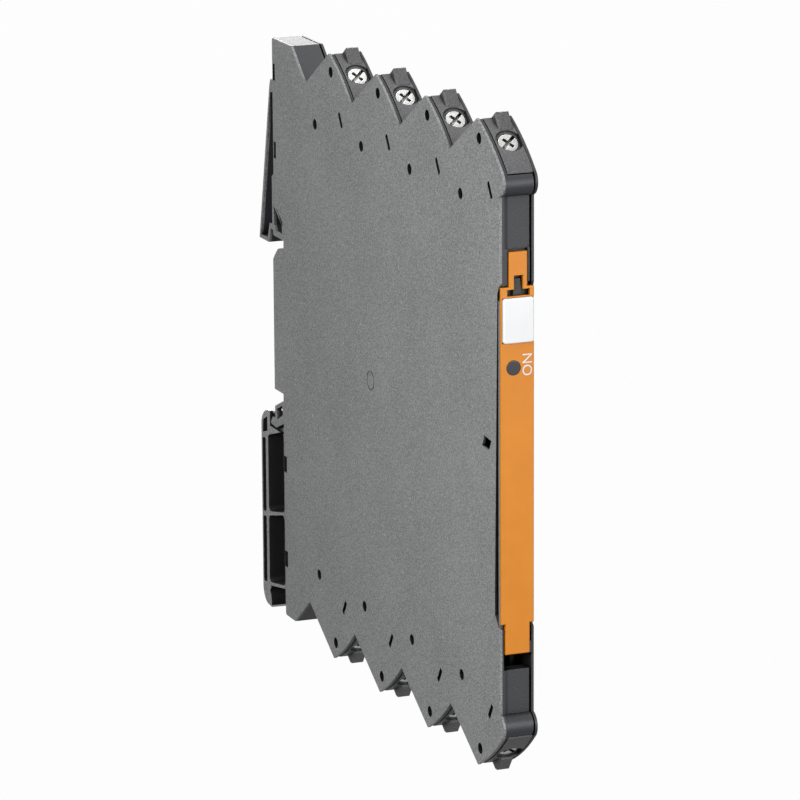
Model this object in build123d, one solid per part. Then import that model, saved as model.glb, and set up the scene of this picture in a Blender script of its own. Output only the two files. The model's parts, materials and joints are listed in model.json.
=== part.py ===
from build123d import *
import math
import os

# Signal splitter, a narrow case that clips on a 35 mm top-hat rail.
# X runs across the case, +Y towards the rail's wall side, +Z up.
# The origin is on the rail's front plane, at half the case's height and width. Millimetres.

# Layers across the case, from the near face at -X to the far face at +X
WIDTH = 6.1
PLATE = 0.45
LINER = 0.55
COVER = 0.45
COVER_GAP = 0.3
WALL = 0.9
NEAR = -WIDTH / 2
PLATE_IN = NEAR + PLATE
LINER_IN = PLATE_IN + LINER
FAR = WIDTH / 2
COVER_IN = FAR - COVER
WALL_END = COVER_IN - COVER_GAP
LINER_INSET = 0.15

# Saw-tooth rows of terminals, the same at the top and the bottom
PITCH = 22.25
TERMINALS = 4
FIRST_PEAK_Y = -28.95
PEAK_Z = 54.8
FLANK_FRONT = 10.3
FLANK_DROP = 7.3
FLANK_BOW = 0.5
VALLEY_Z = PEAK_Z - FLANK_DROP
FIRST_VALLEY_Y = FIRST_PEAK_Y + PITCH - FLANK_FRONT
LAST_VALLEY_Y = FIRST_VALLEY_Y - PITCH * TERMINALS

# Front of the case
BUMP_INSET = 0.95
FRONT_Y = LAST_VALLEY_Y + BUMP_INSET
BUMP_BOW = 1.2
BUMP_HEIGHT = 4.0
BUMP_Z = VALLEY_Z - BUMP_HEIGHT
WINDOW_TOP_Z = 34.8
CHEEK_LOW_Z = 28.8
CUT_BACK = 0.85
CUT_BACK_LOW = 2.0
CUT_LOW_Z = -26.9
HINGE_CHEEK_Z = -28.9
LOWER_PANEL_Z = -36.0

# Recess in the front's upper and lower panels
RECESS_DEPTH = 0.22
RECESS_RIM_X = -2.15
RECESS_RAMP = 0.65

# Rear of the case
REAR_Y = -0.65
REAR_TOP_Z = 53.2
REAR_BEND_Y = -10.3
BOTTOM_REAR_Y = -4.5
BOTTOM_BEND_Y = -9.4
BOTTOM_END_Z = -53.2
SLIDE_WALL_Y = -8.6

# Rail, its lips and the fixed catch under the lower one
RAIL_HEIGHT = 35.0
RAIL_LIP = 1.0
RAIL_DEPTH = 7.5
RAIL_Z = 0.4
LIP_TOP_Z = RAIL_Z + RAIL_HEIGHT / 2
LIP_LOW_Z = RAIL_Z - RAIL_HEIGHT / 2
LIP_PLAY = 0.1
REAR_SLOPE_Z = LIP_TOP_Z + 5.5
NOSE_TOP_Z = LIP_TOP_Z - 5.3
NOSE_LOW_Z = LIP_LOW_Z + 5.5
HOOK_LOW_Z = LIP_TOP_Z - 2.6
ARM_RIM = 0.65
ARM_FLOOR = 0.8

# Holes in the near plate, placed from the tooth's peak
PIN_R = 0.6
PLATE_HOLE_R = 0.95
BLOCK_HOLE_R = 0.68
TOOTH_HOLE = (-0.98, -3.12)
LOWER_HOLE = (7.02, -13.7)
SLOT_PLACE = (-5.46, -10.85)
SLOT_WIDTH = 0.95
SLOT_LENGTH = 2.9
SLOT_TILT = 58
SLOT_FLOOR = PLATE_IN + 0.3
HOOK_BLADE = 0.5
HOOK_BARB = 0.2
PIN_SINK = 0.35

# Terminal block, placed from its own peak
BLOCK_GAP = 0.1
BLOCK_NEAR = LINER_IN + BLOCK_GAP
BLOCK_FAR = COVER_IN - 0.05
LEDGE_DROP = 7.5
BLOCK_DEPTH = 14.0
POST_NEAR = -0.4
POST_FAR = 2.0
POST_CHAMFER = 0.3
SCREW_X = 0.6
HEAD_TOP = (-4.5, -3.55)
SCREW_TILT = 45
SINK_R = 2.3
HEAD_R = 1.7
HEAD_HEIGHT = 1.8
HEAD_PLAY = 0.1
SHANK_R = 1.25
SHANK_PLAY = 0.08
SEAT = 0.7
SHANK_TIP = 6.1
DRIVE_WIDTH = 0.55
DRIVE_DEPTH = 0.7
DRIVE_TURN = 42
YOKE_TOP = 4.6
YOKE_HEAD = 1.4
YOKE_WINDOW = 3.9
YOKE_FLOOR = 0.8
YOKE_HALF_X = 1.65
YOKE_SIDE = 0.4
YOKE_HALF_RUN = 1.8
POCKET_PLAY = 0.2
THREAD_PLAY = 0.04
BAR_T = 6.4
BAR_THICK = 0.8
BAR_HALF_X = 1.1
BAR_BACK = 3.9
TAIL_WIDTH = 0.9
TAIL_Y = -3.1
TAIL_TOP = -10.6
TAIL_LAP = 2.2
WIRE_T = 8.48
WIRE_R = 1.35
WIRE_MOUTH_R = 1.7
WIRE_MOUTH_RUN = 6.6

# Circuit board
BOARD_NEAR = 0.9
BOARD_THICK = 0.8
BOARD_FAR = BOARD_NEAR + BOARD_THICK
BOARD_CLEAR = 1.3
BOARD_HALF_Z = PEAK_Z - BLOCK_DEPTH - BOARD_CLEAR
BOARD_REAR_Y = -12.0
BOARD_FRONT_GAP = 5.0
BOARD_FRONT_Y = FRONT_Y + BOARD_FRONT_GAP
CORE_Y = -58.0
CORE_Z = -2.0
CORE_LENGTH = 14.0
CORE_DEPTH = 12.0
CORE_HEIGHT = 2.6
CORE_LEG = 2.2
CORE_LEG_LIFT = 0.7
CORE_LEG_HEIGHT = 1.3
PLACE_GRID = 2.0
ANALOG_CHIP = (5.0, 4.0, 1.4)
ISOLATOR_CHIP = (10.0, 7.4, 2.4)
PROCESSOR_CHIP = (7.0, 7.0, 1.2)
CAPACITOR = (3.2, 2.5, 1.5)
CHIP_LIFT = 0.15
LEG_WIDTH = 0.4
LEG_REACH = 0.7
SOCKET_LOW_Z = -14.0
SOCKET_CELLS = 6
SOCKET_STEP = 1.6
SOCKET_NEAR = -1.9

# Rail foot and its spring
FOOT_PLAY = 0.08
FOOT_NEAR = PLATE_IN + FOOT_PLAY
FOOT_FAR = COVER_IN - 0.15
FOOT_FLOOR = 0.8
FOOT_WEB_Y = SLIDE_WALL_Y + 0.4
FOOT_BACK_Y = RAIL_DEPTH - 0.15
FOOT_EDGE_Y = BOTTOM_REAR_Y + 0.15
FOOT_LOW_Z = -53.8
FOOT_RISE = 0.3
FOOT_TIP_Y = 2.9
FOOT_RIM = 0.35
FOOT_TRAVEL = 3.0
FOOT_POCKET_Y = (-4.3, 3.9)
FOOT_GROOVE_Y = (5.15, 6.85)
FOOT_RIB_Z = (-35.2, -48.9)
FOOT_RIB = 0.65
FOOT_HOOK_NEAR = -1.2
FOOT_HOOK_Y = RAIL_LIP + 0.2
CATCH_ROOM_Y = 2.8
GUIDE_Z = (LIP_LOW_Z - 7.5, -46.2)
GUIDE_HALF = (0.4, 1.3)
SPRING_LOW_Z = -39.4
SPRING_TOP_Z = -29.4
SPRING_SEAT = 0.8

# Front flap and what it carries
FLAP_Y = FRONT_Y - 0.45
FLAP_THICK = 0.6
FLAP_HALF = 2.9
FLAP_EDGE = 0.12
FLAP_RIB_Z = (-24.0, 24.0)
FLAP_TOP_Z = 28.6
FLAP_LOW_Z = -28.0
TAB_THICK = 1.0
TAB_TOP_Z = 34.4
HINGE_TAB_Z = -33.2
HINGE_Y = FLAP_Y + 1.2
HINGE_Z = -32.3
KNUCKLE_R = 0.9
HINGE_PIN_R = 0.45
HINGE_PLAY = 0.05
FRAME_Y = (0.25, 0.75)
FRAME_NEAR_X = (-2.9, -2.2)
FRAME_FAR_X = (2.0, WALL_END)
FRAME_BAR_Z = (-27.2, -25.0, 24.6, 26.3)
TAG_TOP_Z = 26.85
TAG_LOW_Z = 19.35
TAG_HALF = 2.7
TAG_THICK = 0.75
TAG_SEAT = 0.25
GUIDE_LIGHT = (-0.75, 15.2)
GUIDE_LIGHT_R = 1.2


def peak_y(i):
    return FIRST_PEAK_Y - PITCH * i


def valley_y(i):
    return FIRST_VALLEY_Y - PITCH * i


def bowed(start, end, bow):
    """An arc that stands out by bow to the right of the way from start to end."""
    way = (end - start).normalized()
    middle = (start + end) / 2 + Vector(way.Y, -way.X) * bow
    return ThreePointArc(start, middle, end)


def shape(*corners):
    """A closed face through (across, up) corners; a third value bows the side that ends there."""
    edges = []
    before = corners[-1]
    for corner in corners:
        start = Vector(before[0], before[1])
        end = Vector(corner[0], corner[1])
        if len(corner) == 3:
            edges.append(bowed(start, end, corner[2]))
        else:
            edges.append(Line(start, end))
        before = corner
    return make_face(edges)


def slab(face, x0, x1):
    """A (Y, Z) face thickened along X from x0 to x1."""
    return extrude(Plane.YZ.offset(x0) * face, amount=x1 - x0)


def block(x0, x1, y0, y1, z0, z1):
    return Pos((x0 + x1) / 2, (y0 + y1) / 2, (z0 + z1) / 2) * Box(x1 - x0, y1 - y0, z1 - z0)


def rod(x0, x1, y, z, radius):
    return slab(Pos(y, z) * Circle(radius), x0, x1)


def wall_face(line, thickness):
    """A mitred wall on the left of an open line of (y, z) points."""
    points = [Vector(y, z) for y, z in line]
    ways = [(b - a).normalized() for a, b in zip(points[:-1], points[1:])]
    inner = []
    for i, point in enumerate(points):
        before = ways[max(i - 1, 0)]
        after = ways[min(i, len(ways) - 1)]
        left = Vector(-before.Y - after.Y, before.X + after.X).normalized()
        reach = thickness / (left.X * -after.Y + left.Y * after.X)
        inner.append(point + left * reach)
    outer = [(p.X, p.Y) for p in points]
    return shape(*outer, *[(p.X, p.Y) for p in reversed(inner)])


def both_rows(solid):
    """The solid and its mirror image in the other row of terminals."""
    return Part() + solid + mirror(solid, Plane.XY)


def along_teeth(solid):
    """Copies of a solid, modelled from a peak at the origin, at every tooth of the top row."""
    row = Part()
    for i in range(TERMINALS):
        row += Pos(0, peak_y(i), PEAK_Z) * solid
    return row


# Case outline
def comb_top():
    corners = [(FIRST_VALLEY_Y, VALLEY_Z)]
    for i in range(TERMINALS):
        corners.append((peak_y(i), PEAK_Z))
        corners.append((valley_y(i + 1), VALLEY_Z, FLANK_BOW))
    return corners


def comb_bottom():
    corners = []
    for i in reversed(range(TERMINALS)):
        corners.append((peak_y(i), -PEAK_Z, FLANK_BOW))
        corners.append((valley_y(i), -VALLEY_Z))
    return corners


def front_corners():
    return [
        (FRONT_Y, BUMP_Z, BUMP_BOW),
        (FRONT_Y, CHEEK_LOW_Z + 0.5),
        (FRONT_Y + CUT_BACK, CHEEK_LOW_Z - 1.3, 0.1),
        (FRONT_Y + CUT_BACK_LOW, CUT_LOW_Z + 4),
        (FRONT_Y + CUT_BACK_LOW, CUT_LOW_Z),
        (FRONT_Y, HINGE_CHEEK_Z),
        (FRONT_Y, -BUMP_Z),
        (LAST_VALLEY_Y, -VALLEY_Z, BUMP_BOW),
    ]


def nose_corners():
    return [
        (BOTTOM_REAR_Y, NOSE_LOW_Z),
        (0, NOSE_LOW_Z),
        (0, NOSE_TOP_Z),
        (-2.6, NOSE_TOP_Z + 2.4, 0.1),
        (-5.4, NOSE_TOP_Z + 3.0),
        (-5.4, LIP_TOP_Z + 1.0),
        (-5.0, LIP_TOP_Z + 2.3, 0.2),
        (REAR_Y - 0.3, REAR_SLOPE_Z - 0.4),
        (REAR_Y, REAR_SLOPE_Z, 0.1),
    ]


def case_face():
    return shape(
        (REAR_Y, REAR_TOP_Z - 0.5),
        (REAR_Y - 0.5, REAR_TOP_Z, 0.15),
        (REAR_BEND_Y + 0.6, REAR_TOP_Z),
        (REAR_BEND_Y - 0.5, REAR_TOP_Z - 0.4, 0.15),
        *comb_top(),
        *front_corners(),
        *comb_bottom(),
        (BOTTOM_BEND_Y, BOTTOM_END_Z),
        (BOTTOM_REAR_Y - 0.4, BOTTOM_END_Z),
        (BOTTOM_REAR_Y, BOTTOM_END_Z + 0.4, 0.1),
        *nose_corners(),
    )


# Housing shell: near plate, walls, nose, hook arm, catch and front
def near_plate():
    plate = slab(case_face(), NEAR, PLATE_IN)
    band = Pos(0, PEAK_Z + BOARD_HALF_Z + 0.4) * Rectangle(4 * PEAK_Z * TERMINALS, 2 * PEAK_Z)
    inset = offset(case_face(), amount=-LINER_INSET)
    liner = slab(inset & band, PLATE_IN, LINER_IN)
    low_liner = slab(inset & mirror(band, Plane.XZ), PLATE_IN, LINER_IN)
    slide_way = block(PLATE_IN, LINER_IN, SLIDE_WALL_Y, 0, -2 * PEAK_Z, 0)
    return plate + liner + (low_liner - slide_way)


def rear_walls():
    slope = [(FIRST_VALLEY_Y, -VALLEY_Z), (BOTTOM_BEND_Y, BOTTOM_END_Z)]
    line = [
        (SLIDE_WALL_Y, BOTTOM_END_Z),
        (SLIDE_WALL_Y, NOSE_LOW_Z),
        (0, NOSE_LOW_Z),
        (0, NOSE_TOP_Z),
        (-2.6, NOSE_TOP_Z + 2.4),
        (-5.4, NOSE_TOP_Z + 3.0),
        (-5.4, LIP_TOP_Z + 2.0),
        (REAR_Y, REAR_SLOPE_Z),
        (REAR_Y, REAR_TOP_Z),
        (REAR_BEND_Y, REAR_TOP_Z),
        (FIRST_VALLEY_Y, VALLEY_Z),
    ]
    walls = slab(wall_face(line, WALL), PLATE_IN, WALL_END)
    return walls + slab(wall_face(slope, WALL), PLATE_IN, WALL_END)


def hook_arm():
    roof_z = LIP_TOP_Z + LIP_PLAY
    arm = slab(
        shape(
            (REAR_Y - 0.2, 45.9),
            (REAR_Y - 0.2, REAR_SLOPE_Z - 0.2),
            (-5.4, LIP_TOP_Z + 1.2),
            (-5.4, LIP_TOP_Z - 0.9),
            (-0.27, LIP_TOP_Z - 0.9),
            (-0.05, roof_z),
            (RAIL_LIP + 0.1, roof_z),
            (2.1, HOOK_LOW_Z),
            (7.0, HOOK_LOW_Z),
            (1.1, 43.6),
            (0.36, 45.6, 0.1),
        ),
        NEAR,
        WALL_END,
    )
    large_pocket = shape(
        (REAR_Y, 43.3),
        (REAR_Y, REAR_SLOPE_Z + 5.0),
        (0.26, REAR_SLOPE_Z + 4.4),
        (0.26, roof_z + 1.05),
        (1.6, roof_z + 0.95),
        (2.75, HOOK_LOW_Z + ARM_RIM),
        (6.2, HOOK_LOW_Z + ARM_RIM),
        (0.5, 43.2),
    )
    small_pocket = shape(
        (REAR_Y, REAR_SLOPE_Z - 0.9),
        (-4.6, LIP_TOP_Z + 1.85),
        (-4.75, LIP_TOP_Z + 0.25),
        (-1.35, LIP_TOP_Z + 0.25),
        (REAR_Y, roof_z + 1.1),
    )
    floor = WALL_END - ARM_FLOOR
    return arm - slab(large_pocket, NEAR, floor) - slab(small_pocket, NEAR, floor)


def rail_catch():
    """Fixed catch under the rail's lower lip; its barb is as thin as the plate, so the foot can pass."""
    stop_y = -0.05
    shoulder_z = LIP_LOW_Z - LIP_PLAY
    low_z = LIP_LOW_Z - 1.7
    root = shape(
        (BOTTOM_REAR_Y - 0.5, LIP_LOW_Z + 4.4),
        (BOTTOM_REAR_Y - 0.5, LIP_LOW_Z + 0.1),
        (-0.6, low_z),
        (stop_y, low_z),
        (stop_y, LIP_LOW_Z + 2.3),
    )
    barb = shape(
        (stop_y - 0.3, low_z),
        (2.0, low_z + 0.2),
        (2.3, low_z + 0.5),
        (1.26, shoulder_z),
        (stop_y - 0.3, shoulder_z),
    )
    hole = shape(
        (-0.8, LIP_LOW_Z + 1.8), (-3.66, LIP_LOW_Z + 3.15), (-4.15, LIP_LOW_Z + 1.5), (-1.24, LIP_LOW_Z)
    )
    return slab(root, NEAR, LINER_IN) + slab(barb, NEAR, PLATE_IN) - slab(hole, NEAR - 1, LINER_IN + 1)


def panel_recess(low_z, high_z):
    """Shallow sink across the front, open at both ends, with a ramp at the near rim."""
    floor_y = FRONT_Y + RECESS_DEPTH
    ramp_x = RECESS_RIM_X + RECESS_RAMP
    section = shape(
        (RECESS_RIM_X, FRONT_Y),
        (ramp_x, floor_y),
        (FAR, floor_y),
        (FAR, FRONT_Y - 1),
        (RECESS_RIM_X, FRONT_Y - 1),
    )
    return extrude(Plane.XY.offset(low_z) * section, amount=high_z - low_z)


def front_top():
    bump = shape(
        (LAST_VALLEY_Y - 0.05, VALLEY_Z - 0.35),
        (FRONT_Y, BUMP_Z, BUMP_BOW),
        (FRONT_Y + 1.1, BUMP_Z),
        (FRONT_Y + 1.1, VALLEY_Z - 0.5),
    )
    solid = slab(bump, PLATE_IN, WALL_END)
    solid += block(PLATE_IN, WALL_END, FRONT_Y, FRONT_Y + 1.0, WINDOW_TOP_Z, BUMP_Z + 0.1)
    return solid - panel_recess(WINDOW_TOP_Z - 1, BUMP_Z)


def latch_wall():
    """Wall behind the flap's tab, with a cheek on each side of it and the tapered tongue in its slot."""
    wall_y = FRONT_Y + 0.7
    wall = block(PLATE_IN, WALL_END, wall_y, wall_y + WALL, CHEEK_LOW_Z - 2.8, WINDOW_TOP_Z + 0.8)
    sill = block(PLATE_IN, WALL_END, FRONT_Y + 0.9, FRONT_Y + 2.4, WINDOW_TOP_Z, WINDOW_TOP_Z + 0.8)
    near_cheek = block(PLATE_IN, -1.6, FRONT_Y, wall_y + 0.1, CHEEK_LOW_Z, WINDOW_TOP_Z + 0.1)
    far_cheek = block(1.9, WALL_END, FRONT_Y, wall_y + 0.1, CHEEK_LOW_Z + 0.5, WINDOW_TOP_Z + 0.1)
    tongue = make_face(Polyline((-0.42, 29.9), (0.6, 29.9), (0.85, 27.2), (-0.7, 27.2), close=True))
    front_plane = Plane(origin=(0, wall_y + 0.1, 0), x_dir=(1, 0, 0), z_dir=(0, -1, 0))
    return wall + sill + near_cheek + far_cheek + extrude(front_plane * tongue, amount=0.8)


def front_bottom():
    sill = block(PLATE_IN, WALL_END, FRONT_Y + 0.9, FRONT_Y + 2.4, LOWER_PANEL_Z - 0.8, LOWER_PANEL_Z)
    panel = block(PLATE_IN, WALL_END, FRONT_Y, FRONT_Y + 1.0, -BUMP_Z - 0.1, LOWER_PANEL_Z)
    panel -= panel_recess(-BUMP_Z, LOWER_PANEL_Z + 1)
    cheek = block(PLATE_IN, -2.3, FRONT_Y, FRONT_Y + 2.4, LOWER_PANEL_Z - 0.1, HINGE_CHEEK_Z)
    bump = mirror(front_top(), Plane.XY) & block(NEAR, FAR, FRONT_Y - 3, FRONT_Y + 3, -VALLEY_Z, -BUMP_Z)
    return sill + panel + cheek + bump


def flap_frame():
    """Upright strips and two bars that the closed flap lies on."""
    front, back = FRONT_Y + FRAME_Y[0], FRONT_Y + FRAME_Y[1]
    low, low_top, high_low, high = FRAME_BAR_Z
    near = block(*FRAME_NEAR_X, front, back, HINGE_CHEEK_Z - 0.1, high)
    far = block(*FRAME_FAR_X, front, back, low, high)
    low_bar = block(FRAME_NEAR_X[0], WALL_END, front, back, low, low_top)
    high_bar = block(FRAME_NEAR_X[0], WALL_END, front, back, high_low, high)
    return near + far + low_bar + high_bar


def block_supports():
    """Ribs under each valley with shelves under the two blocks that meet there."""
    shelf_front = shape((-0.6, -0.5), (-5.4, -2.75), (-5.4, -3.65), (-0.6, -1.4))
    rib = shape((0.05, -0.25), (-0.6, -0.25), (-0.6, -7.2), (0.05, -7.2))
    shelf_rear = shape((0.05, -0.65), (0.05, -1.5), (5.0, -1.5), (5.0, -0.72))
    row = Part()
    for i in range(TERMINALS + 1):
        place = Pos(0, valley_y(i), VALLEY_Z)
        if i < TERMINALS:
            row += place * slab(shelf_front, PLATE_IN, WALL_END)
            row += place * slab(rib, PLATE_IN, WALL_END)
        if i > 0:
            row += place * slab(shelf_rear, PLATE_IN, WALL_END)
    return both_rows(row)


def board_posts():
    posts = Part()
    for y in (BOARD_FRONT_Y + 5, (BOARD_FRONT_Y + BOARD_REAR_Y) / 2, BOARD_REAR_Y - 5):
        posts += rod(PLATE_IN, BOARD_NEAR, y, BOARD_HALF_Z - 4.5, 1.3)
        posts += rod(BOARD_NEAR, BOARD_FAR + 0.2, y, BOARD_HALF_Z - 4.5, 0.6)
    return both_rows(posts)


def foot_guides():
    guides = Part()
    middle = (FOOT_WEB_Y + BOTTOM_REAR_Y) / 2
    half_y, half_z = GUIDE_HALF
    for z in GUIDE_Z:
        guides += block(PLATE_IN, WALL_END, middle - half_y, middle + half_y, z - half_z, z + half_z)
    guides += block(
        PLATE_IN, WALL_END, middle - 1.1, middle + 1.1, SPRING_LOW_Z - SPRING_SEAT, SPRING_LOW_Z
    )
    return guides


def slot_face(width, length):
    return Rot(0, 0, SLOT_TILT) * RectangleRounded(length, width, width * 0.3)


def plate_openings():
    depth_in = LINER_IN + 0.01
    tooth = rod(NEAR - 1, depth_in, *TOOTH_HOLE, PLATE_HOLE_R)
    lower = rod(NEAR - 1, depth_in, *LOWER_HOLE, PLATE_HOLE_R)
    slot = slab(Pos(*SLOT_PLACE) * slot_face(SLOT_WIDTH, SLOT_LENGTH), NEAR - 1, SLOT_FLOOR)
    throat = slab(Pos(*SLOT_PLACE) * slot_face(HOOK_BLADE + 0.16, SLOT_LENGTH), SLOT_FLOOR, depth_in)
    cuts = both_rows(along_teeth(Part() + tooth + lower + slot + throat))
    for z in (47.1, 32.9):
        cuts += block(NEAR - 1, PLATE_IN + 0.1, REAR_Y - 1.4, REAR_Y + 1, z - 1.5, z + 1.5)
    for z in (-24.6, -42.5):
        cuts += block(NEAR - 1, PLATE_IN, BOTTOM_REAR_Y - 1.4, BOTTOM_REAR_Y + 1, z - 1.5, z + 1.5)
    window = shape((FRONT_Y + 3.4, 2.3), (FRONT_Y + 4.4, 0.5), (FRONT_Y + 7.3, 0.7), (FRONT_Y + 6.4, 2.6))
    ring = Circle(1.7) - Circle(1.5)
    cuts += slab(window, NEAR - 1, PLATE_IN)
    cuts += slab(Pos(-47.8, 0.5) * ring, NEAR - 1, NEAR + 0.08)
    return cuts


def housing_shell():
    shell = near_plate() + rear_walls() + hook_arm() + rail_catch()
    shell += front_top() + latch_wall() + front_bottom() + flap_frame()
    shell += block_supports() + board_posts() + foot_guides()
    shell -= plate_openings()
    shell -= rod(NEAR + 0.25, -2.2, HINGE_Y, HINGE_Z, HINGE_PIN_R + HINGE_PLAY)
    return shell


# Side cover with its locating pins and snap hooks
def side_cover():
    cover = slab(case_face(), COVER_IN, FAR)
    tip = PLATE_IN + PIN_SINK
    pin = rod(tip, COVER_IN, *TOOTH_HOLE, PIN_R) + rod(tip, COVER_IN, *LOWER_HOLE, PIN_R)
    hook = Pos(*SLOT_PLACE)
    blade = slab(hook * slot_face(HOOK_BLADE, SLOT_LENGTH - 0.5), SLOT_FLOOR, COVER_IN)
    barb_face = hook * slot_face(SLOT_WIDTH - 0.15, SLOT_LENGTH - 0.5)
    barb = slab(barb_face, SLOT_FLOOR - HOOK_BARB, SLOT_FLOOR)
    cover += both_rows(along_teeth(Part() + pin + blade + barb))
    boss = rod(WALL_END - 0.05, COVER_IN, HINGE_Y, HINGE_Z, 1.2)
    cover += boss & block(0, FAR, FRONT_Y, 0, -PEAK_Z, PEAK_Z)
    return cover - rod(WALL_END - 1, FAR - 0.2, HINGE_Y, HINGE_Z, HINGE_PIN_R + HINGE_PLAY)


# Terminal block and its clamp, modelled from the tooth's peak at the origin
def clamp_plane(depth):
    """Plane across the screw, depth below the top of its head, with X across the case."""
    tilt = math.radians(SCREW_TILT)
    inward = Vector(0, math.sin(tilt), -math.cos(tilt))
    origin = Vector(SCREW_X, HEAD_TOP[0], HEAD_TOP[1]) + inward * depth
    return Plane(origin=origin, x_dir=(1, 0, 0), z_dir=inward)


def clamp_rod(radius, t0, t1):
    return extrude(clamp_plane(t0) * Circle(radius), amount=t1 - t0)


def clamp_box(x0, x1, run0, run1, t0, t1):
    """Box in the clamp's frame: x from the screw's axis, run towards the conductor's mouth, t inwards."""
    face = Pos((x0 + x1) / 2, -(run0 + run1) / 2) * Rectangle(x1 - x0, run1 - run0)
    return extrude(clamp_plane(t0) * face, amount=t1 - t0)


def wire_rod(radius, run0, run1):
    tilt = math.radians(SCREW_TILT)
    outward = Vector(0, math.cos(tilt), math.sin(tilt))
    origin = clamp_plane(WIRE_T).origin + outward * run0
    return extrude(Plane(origin=origin, z_dir=outward) * Circle(radius), amount=run1 - run0)


def terminal_block():
    slope = FLANK_DROP / (PITCH - FLANK_FRONT)
    rear_end = PITCH - FLANK_FRONT - 0.75
    front_end = 0.2 - FLANK_FRONT
    body = slab(
        shape(
            (rear_end, -0.1 - slope * rear_end),
            (0, -0.1),
            (front_end, -FLANK_DROP + 0.1, FLANK_BOW),
            (front_end, -LEDGE_DROP),
            (-4.9, -7.8),
            (1.05, -BLOCK_DEPTH),
            (2.4, -BLOCK_DEPTH + 0.5),
            (5.9, -10.1),
            (rear_end, -LEDGE_DROP),
        ),
        BLOCK_NEAR,
        BLOCK_FAR,
    )
    post_side = shape((0.9, -0.3), (-1.0, 1.0), (-1.3, 0.95), (-2.95, -1.3), (-2.9, -2.2), (0.9, -2.2))
    post = slab(post_side, POST_NEAR, POST_FAR)
    post = chamfer(post.faces().sort_by(Axis.X)[0].edges(), POST_CHAMFER)
    pocket_top = HEAD_HEIGHT + SEAT
    pocket_floor = YOKE_TOP + YOKE_HEAD + YOKE_WINDOW + YOKE_FLOOR + 0.3
    half_run = YOKE_HALF_RUN + POCKET_PLAY
    half_x = YOKE_HALF_X + POCKET_PLAY
    solid = body + post
    solid -= clamp_rod(SINK_R, -4, 0)
    solid -= clamp_rod(HEAD_R + HEAD_PLAY, -0.1, HEAD_HEIGHT)
    solid -= clamp_rod(SHANK_R + SHANK_PLAY, HEAD_HEIGHT - 0.1, pocket_top + 0.1)
    solid -= clamp_box(-half_x, FAR, -half_run, half_run, pocket_top, pocket_floor)
    solid -= clamp_box(-BAR_HALF_X - 0.1, FAR, -6, 0, BAR_T - 0.1, BAR_T + BAR_THICK + 0.1)
    solid -= wire_rod(WIRE_R, 0, 12)
    solid -= wire_rod(WIRE_MOUTH_R, WIRE_MOUTH_RUN, 12)
    return solid - rod(NEAR, FAR, *TOOTH_HOLE, BLOCK_HOLE_R)


def clamp_screw():
    screw = clamp_rod(HEAD_R, 0, HEAD_HEIGHT) + clamp_rod(SHANK_R, HEAD_HEIGHT, SHANK_TIP)
    half = DRIVE_WIDTH / 2
    drive = clamp_box(-HEAD_R - 1, HEAD_R + 1, -half, half, -1, DRIVE_DEPTH)
    drive += clamp_box(-half, half, -1.1, 1.1, -1, DRIVE_DEPTH)
    top = clamp_plane(0)
    return screw - drive.rotate(Axis(top.origin, top.z_dir), -DRIVE_TURN)


def clamp_yoke():
    low = YOKE_TOP + YOKE_HEAD + YOKE_WINDOW
    inner = YOKE_HALF_X - YOKE_SIDE
    cage = clamp_box(-YOKE_HALF_X, YOKE_HALF_X, -YOKE_HALF_RUN, YOKE_HALF_RUN, YOKE_TOP, low + YOKE_FLOOR)
    cage -= clamp_box(-inner, inner, -YOKE_HALF_RUN - 1, YOKE_HALF_RUN + 1, YOKE_TOP + YOKE_HEAD, low)
    return cage - clamp_rod(SHANK_R + THREAD_PLAY, YOKE_TOP - 1, YOKE_TOP + YOKE_HEAD + 1)


def contact_bar():
    bar = clamp_box(-BAR_HALF_X, BAR_HALF_X, -BAR_BACK, YOKE_HALF_RUN + 0.1, BAR_T, BAR_T + BAR_THICK)
    tail_low = BOARD_HALF_Z - TAIL_LAP - PEAK_Z
    return bar + block(BOARD_NEAR - BAR_THICK, BOARD_NEAR, TAIL_Y, TAIL_Y + TAIL_WIDTH, tail_low, TAIL_TOP)


# Rail foot: flush with the near plate, its pockets open to the near side, and a web that slides in the case
def foot_outline():
    return shape(
        (FOOT_HOOK_Y, LIP_LOW_Z - 0.1),
        (FOOT_HOOK_Y + 0.25, LIP_LOW_Z + 0.8, -0.1),
        (4.0, LIP_LOW_Z + 0.5),
        (FOOT_BACK_Y, LIP_LOW_Z - 2.3, -0.7),
        (FOOT_BACK_Y, FOOT_LOW_Z + 3.0),
        (5.2, FOOT_LOW_Z + 0.2, -0.5),
        (FOOT_TIP_Y, FOOT_LOW_Z),
        (FOOT_WEB_Y, FOOT_LOW_Z + FOOT_RISE * (FOOT_TIP_Y - FOOT_WEB_Y)),
        (FOOT_WEB_Y, LIP_LOW_Z - 2.0),
        (-4.8, LIP_LOW_Z - 0.6),
        (-0.6, LIP_LOW_Z - 2.1),
        (FOOT_HOOK_Y, LIP_LOW_Z - 2.1),
    )


def foot_skin():
    """The part of the foot that stands out to the near plate's face, behind the plate's rear edge."""
    skin = slab(foot_outline(), NEAR, FOOT_NEAR)
    skin &= block(NEAR, FOOT_NEAR, FOOT_EDGE_Y, FOOT_BACK_Y, FOOT_LOW_Z, 0)
    return skin - block(NEAR - 1, FOOT_NEAR, FOOT_EDGE_Y - 1, CATCH_ROOM_Y, LIP_LOW_Z - 2.1, 0)


def leaning(ys, low, high, radius):
    """A pocket between two heights at the origin, its ends rising to the front as the ribs do."""
    y0, y1 = ys
    low_lean, high_lean = low[1], high[1]
    face = shape(
        (y0, low[0] - low_lean * y0),
        (y1, low[0] - low_lean * y1),
        (y1, high[0] - high_lean * y1),
        (y0, high[0] - high_lean * y0),
    )
    return fillet(face.vertices(), radius)


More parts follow.
